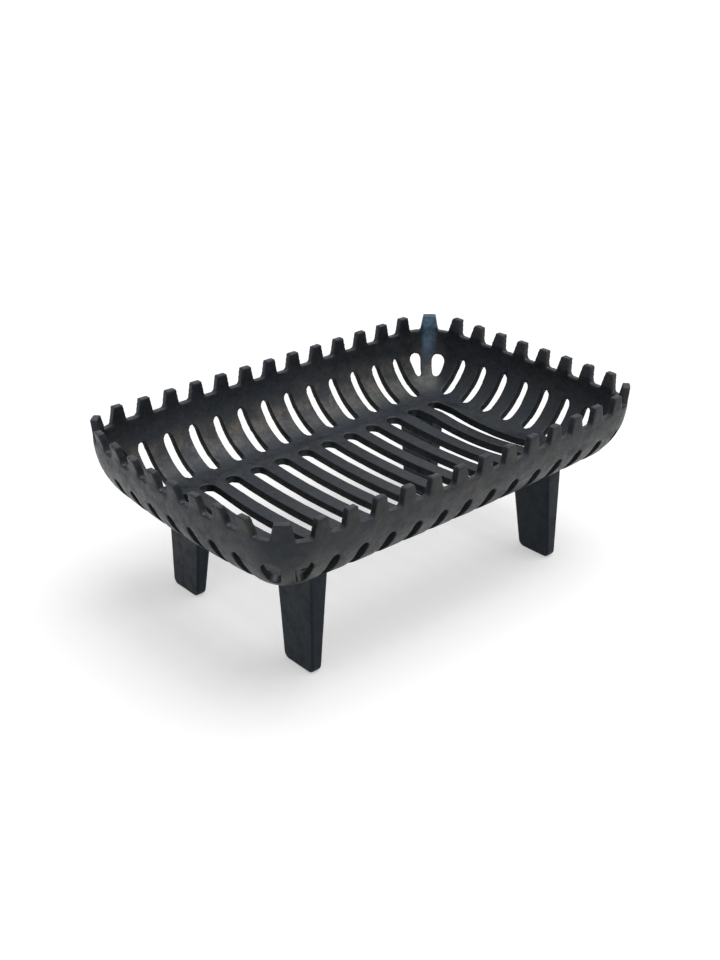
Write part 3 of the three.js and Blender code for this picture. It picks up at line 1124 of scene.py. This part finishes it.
    def add_wall_slots(self, bm: bmesh.types.BMesh) -> None:
        """Adds the slots of the four curved walls, one under each gap between teeth."""
        long_end = self.plan.half_width + self.plan.long_bow + self.cut_past
        short_end = self.plan.half_length + self.plan.short_bow + self.cut_past
        long_slot = self.wall_slot(self.floor_half_width + self.slot_margin, long_end)
        short_slot = self.wall_slot(self.floor_half_length + self.slot_margin, short_end)
        for x in columns(self.long_gaps, self.floor_slot_pitch):
            add_copy(bm, long_slot, standing_at(QUARTER_TURN, x, 0))
            add_copy(bm, long_slot, standing_at(-QUARTER_TURN, x, 0))
        pitch = 2 * self.floor_half_width / (self.short_gaps - 1)
        for y in columns(self.short_gaps, pitch):
            add_copy(bm, short_slot, standing_at(0, 0, y))
            add_copy(bm, short_slot, standing_at(2 * QUARTER_TURN, 0, y))

    @property
    def floor_slot_pitch(self) -> float:
        """Distance between two slots of the floor."""
        last = self.floor_half_length - self.floor_slot_margin - self.floor_slot_width / 2
        return 2 * last / (self.long_gaps - 1)

    @property
    def corner_slot_middle(self) -> float:
        """Height of the middle of a corner slot."""
        top = self.floor_height + self.slot_top - self.corner_slot_drop
        return top - self.corner_slot_height / 2

    def add_corner_slots(self, bm: bmesh.types.BMesh) -> None:
        """Adds the two slots of each corner."""
        centre, radius = self.plan.corner(
            self.inset_at(self.corner_slot_middle, self.long_reach),
            self.inset_at(self.corner_slot_middle, self.short_reach),
        )
        middle = QUARTER_TURN / 2 + self.corner_slot_offset
        for side in (-1, 1):
            slot = self.corner_slot(side)
            spot = on_arc(centre, radius, middle + side * self.corner_slot_angle)
            turn = middle + side * self.corner_slot_turn
            for signs in QUADRANTS:
                add_copy(bm, slot, mirrored(*signs) @ standing_at(turn, spot.x, spot.y))

    def add_floor_slots(self, bm: bmesh.types.BMesh) -> None:
        """Adds the row of slots across the floor."""
        slot = self.floor_slot()
        for x in columns(self.long_gaps, self.floor_slot_pitch):
            add_copy(bm, slot, Matrix.Translation((x, 0, 0)))

    def spaces(self) -> bpy.types.Mesh:
        """Makes everything that is cut out of the bowl."""
        bm = bmesh.new()
        self.add_side_gaps(bm)
        self.add_corner_gaps(bm)
        self.add_wall_slots(bm)
        self.add_corner_slots(bm)
        self.add_floor_slots(bm)
        return mesh_from(bm, "spaces")

    def tongue(self, leg_node: str, clearance: float = 0.0) -> bpy.types.Mesh:
        """Makes the tongue over one leg, or the socket that takes it.

        Args:
            leg_node: the leg's node.
            clearance: how much larger it is on every side.

        Returns:
            Its body, whose root is inside the floor.
        """
        low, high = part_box(leg_node)
        reach = Vector((self.tongue_thickness, self.tongue_width, 0)) / 2
        reach += Vector((clearance, clearance, 0))
        middle = (low + high) / 2
        bottom = self.tongue_bottom - clearance
        top = self.underside + self.floor_thickness / 2
        start = Vector((middle.x, middle.y, bottom)) - reach
        end = Vector((middle.x, middle.y, top)) + reach
        return mesh_from(block(start, end), "tongue")

    def sag(self, thing: bpy.types.Object) -> None:
        """Lets the bars of the floor hang a little in their middle."""
        leg_low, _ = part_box(LEG_NODES[0])
        end_plate = self.floor_half_length - self.floor_slot_margin
        for vert in thing.data.vertices:
            if vert.co.z > self.floor_height + self.wall:
                continue
            x = abs(vert.co.x)
            beside_legs = eased(x, leg_low.x - self.sag_fade, leg_low.x)
            span = self.floor_half_width * (1 - beside_legs) + leg_low.y * beside_legs
            across = min(1.0, abs(vert.co.y) / span)
            share = 1 - eased(x, end_plate, end_plate + self.sag_end_fade)
            vert.co.z -= self.floor_sag * (1 - across**2) * share

    def build(self) -> bpy.types.Object:
        """Makes the whole casting."""
        thing = new_object("cast_basket", self.shell())
        cut(thing, self.spaces())
        bm = bmesh.new()
        bm.from_mesh(thing.data)
        for leg_node in LEG_NODES:
            add_copy(bm, self.tongue(leg_node), Matrix.Identity(4))
        bm.to_mesh(thing.data)
        bm.free()
        self.casting.pour(thing)
        # Both bend the skin, so they come while its points are still close together
        self.sag(thing)
        self.casting.roughen(thing)
        self.casting.thin(thing)
        return self.casting.keep_within(thing, self.node)

    def dress(self, thing: bpy.types.Object, iron: bpy.types.Material) -> None:
        """Gives the casting its finish and its place in the frame."""
        finish_piece(thing, iron, self.node, "basket")


QUADRANTS = ((1, 1), (-1, 1), (-1, -1), (1, -1))
LEG_NODES = ("leg_back_right", "leg_back_left", "leg_front_left", "leg_front_right")


def eased(value: float, low: float, high: float) -> float:
    """Eases from 0 at one value to 1 at another."""
    share = min(1.0, max(0.0, (value - low) / (high - low)))
    return share * share * (3 - 2 * share)


def columns(count: int, pitch: float) -> list[float]:
    """Works out the places of a row of columns, about its middle."""
    return [(i - (count - 1) / 2) * pitch for i in range(count)]


# ------------------------------------------------------------------ legs


@dataclass
class Leg:
    """One tapered leg, whose top follows the underside of the basket."""

    node: str
    basket: Basket
    foot_thickness: float = 0.010
    foot_width: float = 0.038
    foot_corner: float = 0.006
    foot_facets: int = 6
    arris: float = 0.0016
    arris_facets: int = 3
    fit_gap: float = 0.0003
    spare_height: float = 0.020
    casting: SandCasting = SandCasting(grid=0.0008, softening=2, regain=0.0, unevenness=0.0001)

    def build(self) -> bpy.types.Object:
        """Makes the leg where its solid stands."""
        low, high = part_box(self.node)
        side_x = math.copysign(1, low.x + high.x)
        side_y = math.copysign(1, low.y + high.y)
        outer = Vector((max(abs(low.x), abs(high.x)), max(abs(low.y), abs(high.y)), 0))
        thickness_gain = (high.x - low.x - self.foot_thickness) / high.z
        width_gain = (high.y - low.y - self.foot_width) / high.z
        top = high.z + self.spare_height
        bm = block((0, 0, 0), (1, 1, top))
        for vert in bm.verts:
            thickness = self.foot_thickness + thickness_gain * vert.co.z
            width = self.foot_width + width_gain * vert.co.z
            vert.co.x = outer.x - (1 - vert.co.x) * thickness
            vert.co.y = outer.y - (1 - vert.co.y) * width
        foot = edges_along(bm, Axis.X, lambda middle: middle.z < top / 2)
        round_edges(bm, foot, self.foot_corner, self.foot_facets)
        sharp = [edge for edge in bm.edges if edge.calc_face_angle(0) > SHARP]
        round_edges(bm, sharp, self.arris, self.arris_facets)
        bmesh.ops.transform(bm, matrix=mirrored(side_x, side_y), verts=bm.verts)
        thing = new_object("cast_" + self.node, mesh_from(bm, self.node))
        cut(thing, self.basket.outer_form(self.fit_gap))
        cut(thing, self.basket.tongue(self.node, self.fit_gap))
        self.casting.pour(thing)
        self.casting.roughen(thing)
        self.casting.thin(thing)
        return self.casting.keep_within(thing, self.node)

    def dress(self, thing: bpy.types.Object, iron: bpy.types.Material) -> None:
        """Gives the leg its finish and its place in the frame."""
        finish_piece(thing, iron, self.node, self.node)


def finish_piece(
    thing: bpy.types.Object, material: bpy.types.Material, node: str, body: str
) -> None:
    """Dresses a piece and ties it to the frame.

    Args:
        thing: the piece.
        material: its material.
        node: the node that it stands for.
        body: the body that it moves with.
    """
    thing.data.materials.clear()
    thing.data.materials.append(material)
    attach(thing, body)
    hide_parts(node)
    LOG.info("%s: %d faces", thing.name, len(thing.data.polygons))


# ------------------------------------------------------------------ studio


@dataclass(frozen=True)
class Studio:
    """Pale floor, soft overhead light and the camera at the photograph's angle."""

    # The camera is measured from the tips of the teeth, in units of this many metres
    unit: float = 0.2195
    target_height: float = 0.1748
    azimuth: float = math.radians(-41.763)
    elevation: float = math.radians(26.407)
    roll: float = 0.1455
    focal_pixels: float = 1324.5
    offset: tuple[float, float, float] = (-0.0353, -0.3251, 5.4595)
    nearest: float = 0.01
    floor_half_size: float = 6.0
    floor_colour: float = 0.62
    floor_glow: float = 0.46
    sky_light: float = 0.25
    key_strength: float = 2.5
    key_spread: float = math.radians(48)
    key_from: tuple[float, float, float] = (0.19, -0.15, 1.0)

    def add_camera(self) -> None:
        """Adds the camera."""
        turn, lift = self.azimuth, self.elevation
        back = Vector(
            (math.sin(turn) * math.cos(lift), -math.cos(turn) * math.cos(lift), math.sin(lift))
        )
        right = Axis.Z.value.cross(back).normalized()
        up = back.cross(right)
        roll = math.radians(self.roll)
        axes = Matrix(
            (
                right * math.cos(roll) + up * math.sin(roll),
                up * math.cos(roll) - right * math.sin(roll),
                back,
            )
        )
        place = axes.transposed() @ Vector(self.offset) * self.unit
        place.z += self.target_height
        data = bpy.data.cameras.new("camera")
        data.sensor_width = SENSOR
        data.lens = self.focal_pixels * SENSOR / IMAGE_HEIGHT
        data.clip_start = self.nearest
        camera = bpy.data.objects.new("camera", data)
        camera.matrix_world = Matrix.Translation(place) @ axes.transposed().to_4x4()
        bpy.context.scene.collection.objects.link(camera)
        bpy.context.scene.camera = camera

    def seen_rays(self, graph: Graph) -> Value:
        """Gives 1 for rays that show the backdrop, straight or in a reflection."""
        path = graph.node("ShaderNodeLightPath")
        names = ("Is Camera Ray", "Is Glossy Ray", "Is Transmission Ray")
        camera, glossy, through = (Value(graph, path.outputs[name]) for name in names)
        return graph.clamp(camera + glossy + through)

    def add_world(self) -> None:
        """Adds the white surroundings and their even light."""
        world = bpy.data.worlds.new("surroundings")
        graph = Graph(world)
        seen = self.seen_rays(graph)
        strength = seen + (1 - seen) * self.sky_light
        sockets = {"Color": (1, 1, 1, 1), "Strength": strength}
        background = graph.node("ShaderNodeBackground", None, sockets)
        graph.node("ShaderNodeOutputWorld", None, {"Surface": background.outputs[0]})
        bpy.context.scene.world = world

    def add_floor(self) -> None:
        """Adds the floor, which keeps the object's shadow."""
        bm = bmesh.new()
        bmesh.ops.create_grid(bm, x_segments=1, y_segments=1, size=self.floor_half_size)
        floor = new_object("floor", mesh_from(bm, "floor"))
        material = bpy.data.materials.new("floor")
        graph = Graph(material)
        tint = (self.floor_colour, self.floor_colour, self.floor_colour, 1)
        paint = graph.node("ShaderNodeBsdfDiffuse", None, {"Color": tint})
        glow_strength = self.seen_rays(graph) * self.floor_glow
        glow = graph.node("ShaderNodeEmission", None, {"Strength": glow_strength})
        both = graph.node("ShaderNodeAddShader", None, {0: paint.outputs[0], 1: glow.outputs[0]})
        graph.node("ShaderNodeOutputMaterial", None, {"Surface": both.outputs[0]})
        floor.data.materials.append(material)

    def add_key_light(self) -> None:
        """Adds the wide soft light from above."""
        data = bpy.data.lights.new("key", "SUN")
        data.energy = self.key_strength
        data.angle = self.key_spread
        lamp = bpy.data.objects.new("key", data)
        lamp.matrix_world = Vector(self.key_from).to_track_quat("Z", "Y").to_matrix().to_4x4()
        bpy.context.scene.collection.objects.link(lamp)

    def build(self) -> None:
        """Adds everything around the object."""
        bpy.context.scene.view_settings.view_transform = "Standard"
        self.add_camera()
        self.add_world()
        self.add_floor()
        self.add_key_light()


def main() -> None:
    """Builds the grate and its studio."""
    logging.basicConfig(level=logging.INFO, format="%(name)s %(message)s")
    Studio().build()
    basket = Basket()
    basket.dress(basket.build(), BASKET_IRON.make())
    leg_iron = LEG_IRON.make()
    for node in LEG_NODES:
        leg = Leg(node, basket)
        leg.dress(leg.build(), leg_iron)
    bpy.context.view_layer.update()


if __name__ == "__main__":
    main()
